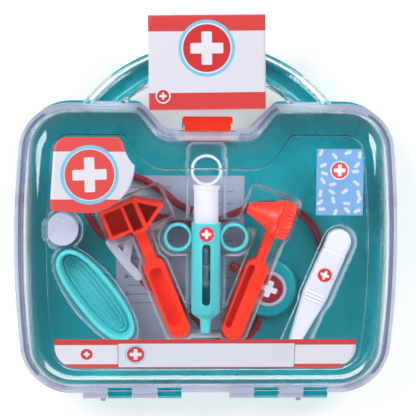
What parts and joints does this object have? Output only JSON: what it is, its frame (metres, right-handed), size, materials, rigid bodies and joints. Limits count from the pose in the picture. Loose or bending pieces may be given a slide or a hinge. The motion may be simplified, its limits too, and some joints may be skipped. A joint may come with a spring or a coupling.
{
  "type": "toy doctor case",
  "caption": "Toy doctor case with a coloured base, a domed clear hinged lid, a split carry handle, a clip latch and a clear tray of toy medical instruments.",
  "frame": {"origin": "centre of the flat back face, on the surface that the case lies on; X is centred on the case and Y on the body's rim without the handle", "axes": "+Z out through the clear lid, +Y towards the carry handle, +X to the right when the lid is seen with the handle up"},
  "size_m": [0.27, 0.2777, 0.0582],
  "materials": {
    "case_teal": "smooth moulded gloss",
    "clear_plastic": "clear moulded gloss",
    "clear_sheet": "thin clear formed sheet",
    "toy_red": "satin moulded",
    "toy_aqua": "satin moulded",
    "toy_white": "satin moulded",
    "tube_red": "soft gloss",
    "pin_steel": "drawn wire",
    "sticker": "printed film",
    "card": "printed coated card",
    "paper": "printed paper",
    "gauze": "rolled gauze",
    "pack_blue": "printed card"
  },
  "bodies": {
    "base": {"base_shell": "case_teal", "base_hinge_knuckles": "case_teal", "latch_bracket": "case_teal", "latch_pin": "pin_steel", "hinge_pin_left": "pin_steel", "hinge_pin_right": "pin_steel", "seal_ties": "clear_plastic", "blister_tray": "clear_sheet", "record_sheet": "paper", "reflex_hammer": "toy_red", "otoscope_body": "toy_red", "otoscope_cone": "toy_red", "otoscope_eyepiece": "toy_red", "syringe_barrel": "toy_aqua", "syringe_emblem": "toy_red", "thermometer_body": "toy_white", "thermometer_emblem": "toy_red", "instrument_dish": "toy_aqua", "gauze_roll": "gauze", "plaster_pack": "pack_blue", "steth_tubes": "tube_red", "steth_yoke": "toy_white", "steth_ear_tips": "toy_white", "steth_connector": "toy_red", "chest_bell": "case_teal", "chest_ring": "toy_white", "chest_disc": "toy_red"},
    "lid": {"lid_shell": "clear_plastic", "lid_hinge_knuckles": "clear_plastic", "lid_label": "sticker", "name_strip": "sticker"},
    "latch": {"latch_clip": "toy_red"},
    "card": {"header_card": "card"},
    "plunger": {"syringe_plunger": "toy_white"}
  },
  "joints": [
    {"name": "lid_hinge", "type": "hinge", "parent": "base", "child": "lid", "pos_m": [0, -0.1052, 0.0264], "axis": [1, 0, 0], "range_deg": [0, 175]},
    {"name": "latch_pivot", "type": "hinge", "parent": "base", "child": "latch", "pos_m": [0, 0.0885, 0.013], "axis": [-1, 0, 0], "range_deg": [0, 100]},
    {"name": "card_slide", "type": "slide", "parent": "lid", "child": "card", "axis": [0, 1, 0], "range_m": [0, 0.1]},
    {"name": "plunger_slide", "type": "slide", "parent": "base", "child": "plunger", "axis": [0, -1, 0], "range_m": [-0.005, 0.0125]}
  ]
}
